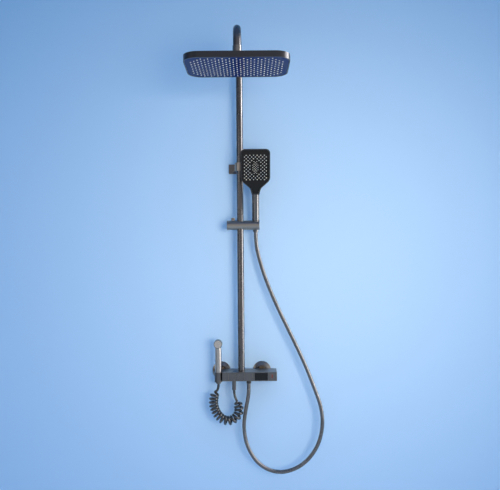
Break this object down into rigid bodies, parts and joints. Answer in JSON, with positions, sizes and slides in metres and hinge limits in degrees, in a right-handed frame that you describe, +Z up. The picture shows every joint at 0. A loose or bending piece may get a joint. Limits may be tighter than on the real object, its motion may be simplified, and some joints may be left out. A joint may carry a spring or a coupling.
{
  "type": "exposed shower system",
  "caption": "Wall-mounted exposed shower system with a push-key thermostatic valve, riser, swivel rain head, sliding hand shower and a bidet sprayer on a curly hose.",
  "frame": {"origin": "On the wall plane, midway between the two water inlets.", "axes": "+X right along the wall, +Y into the wall, +Z up along the riser."},
  "size_m": [0.4525, 0.5699, 1.4981],
  "materials": {
    "gunmetal_metal": "dark satin metal coating",
    "gunmetal_plastic": "dark satin metal-coated plastic",
    "brass": "machined",
    "black_gloss": "gloss black",
    "black_rubber": "moulded",
    "steel": "bright steel",
    "inner_plastic": "moulded",
    "white_silicone": "moulded silicone",
    "hose_skin": "satin gunmetal hose"
  },
  "bodies": {
    "column": {"supply_union_left": "brass", "supply_union_right": "brass", "wall_flange_left": "gunmetal_metal", "wall_flange_right": "gunmetal_metal", "inlet_nut_left": "gunmetal_metal", "inlet_nut_right": "gunmetal_metal", "inlet_washers": "black_rubber", "valve_core": "brass", "valve_casing": "gunmetal_metal", "end_plate": "inner_plastic", "thermostatic_cartridge": "brass", "display_lens": "black_gloss", "display_board": "inner_plastic", "rain_key_spring": "steel", "hand_key_spring": "steel", "bidet_key_spring": "steel", "riser_pipe": "gunmetal_metal", "arm_bush": "inner_plastic", "bracket_plate": "gunmetal_metal", "bracket_arm": "gunmetal_metal", "bracket_clamp": "gunmetal_metal", "bracket_set_screw": "steel", "bracket_screws": "steel", "sprayer_cup": "gunmetal_metal", "hose_nut": "gunmetal_metal", "bidet_connector": "gunmetal_metal", "shower_hose": "hose_skin", "curly_hose": "hose_skin"},
    "temperature_control": {"temperature_knob": "gunmetal_plastic", "cartridge_spindle": "brass"},
    "rain_key": {"rain_key": "gunmetal_plastic"},
    "hand_key": {"hand_key": "gunmetal_plastic"},
    "bidet_key": {"bidet_key": "gunmetal_plastic"},
    "shower_arm": {"shower_arm": "gunmetal_metal", "swivel_nut": "gunmetal_metal"},
    "swivel": {"swivel_ball": "brass"},
    "rain_head": {"rain_head_shell": "gunmetal_metal", "rain_head_face": "black_gloss", "nozzle_mat": "white_silicone", "ball_ring": "inner_plastic"},
    "slider": {"slider_body": "gunmetal_metal", "slider_end_cap": "gunmetal_metal", "clamp_shoe": "inner_plastic", "pivot_bolt": "steel", "button_spring": "steel"},
    "release_button": {"release_button": "gunmetal_plastic"},
    "cradle": {"cradle": "gunmetal_metal"},
    "handset": {"handset_nut": "gunmetal_metal", "handset_handle": "gunmetal_plastic", "handset_shell": "gunmetal_plastic", "handset_face": "black_gloss", "spray_plate": "inner_plastic", "center_insert": "black_gloss"},
    "bidet_sprayer": {"sprayer_handle": "gunmetal_metal", "sprayer_nut": "gunmetal_metal", "sprayer_head": "gunmetal_metal", "sprayer_face": "black_gloss", "trigger_pin": "steel"},
    "sprayer_trigger": {"sprayer_trigger": "gunmetal_plastic"}
  },
  "joints": [
    {"name": "temperature_turn", "type": "hinge", "parent": "column", "child": "temperature_control", "pos_m": [0.096, -0.06125, -0.00425], "axis": [1, 0, 0], "range_deg": [-75, 45]},
    {"name": "rain_key_press", "type": "slide", "parent": "column", "child": "rain_key", "axis": [0, 1, 0], "range_m": [0, 0.003], "stiffness_N_per_m": 400, "springref_m": -0.004, "deforming": ["rain_key_spring"]},
    {"name": "hand_key_press", "type": "slide", "parent": "column", "child": "hand_key", "axis": [0, 1, 0], "range_m": [0, 0.003], "stiffness_N_per_m": 400, "springref_m": -0.004, "deforming": ["hand_key_spring"]},
    {"name": "bidet_key_press", "type": "slide", "parent": "column", "child": "bidet_key", "axis": [0, 1, 0], "range_m": [0, 0.003], "stiffness_N_per_m": 400, "springref_m": -0.004, "deforming": ["bidet_key_spring"]},
    {"name": "arm_swing", "type": "hinge", "parent": "column", "child": "shower_arm", "pos_m": [0, -0.068, 1.035], "axis": [0, 0, 1], "range_deg": [-60, 60]},
    {"name": "head_spin", "type": "hinge", "parent": "shower_arm", "child": "swivel", "pos_m": [0, -0.44, 1.028], "axis": [0, 0, 1], "continuous": true},
    {"name": "head_tilt", "type": "hinge", "parent": "swivel", "child": "rain_head", "pos_m": [0, -0.44, 1.028], "axis": [1, 0, 0], "range_deg": [-12, 12]},
    {"name": "slider_slide", "type": "slide", "parent": "column", "child": "slider", "axis": [0, 0, 1], "range_m": [-0.33, 0.1], "deforming": ["shower_hose"]},
    {"name": "button_press", "type": "slide", "parent": "slider", "child": "release_button", "axis": [0, 0, -1], "range_m": [0, 0.003], "stiffness_N_per_m": 600, "springref_m": -0.003, "deforming": ["button_spring"]},
    {"name": "cradle_tilt", "type": "hinge", "parent": "slider", "child": "cradle", "pos_m": [0.021, -0.068, 0.537], "axis": [1, 0, 0], "range_deg": [-3, 40], "deforming": ["shower_hose"]},
    {"name": "handset_lift", "type": "slide", "parent": "cradle", "child": "handset", "axis": [0, -0.2079, 0.9781], "range_m": [0, 0.06], "deforming": ["shower_hose"]},
    {"name": "sprayer_lift", "type": "slide", "parent": "column", "child": "bidet_sprayer", "axis": [0, 0, 1], "range_m": [0, 0.08], "deforming": ["curly_hose"]},
    {"name": "trigger_squeeze", "type": "hinge", "parent": "bidet_sprayer", "child": "sprayer_trigger", "pos_m": [-0.0826, -0.0595, 0.112], "axis": [-1, 0, 0], "range_deg": [0, 6], "stiffness_Nm_per_rad": 0.6, "springref_deg": -5.73}
  ]
}
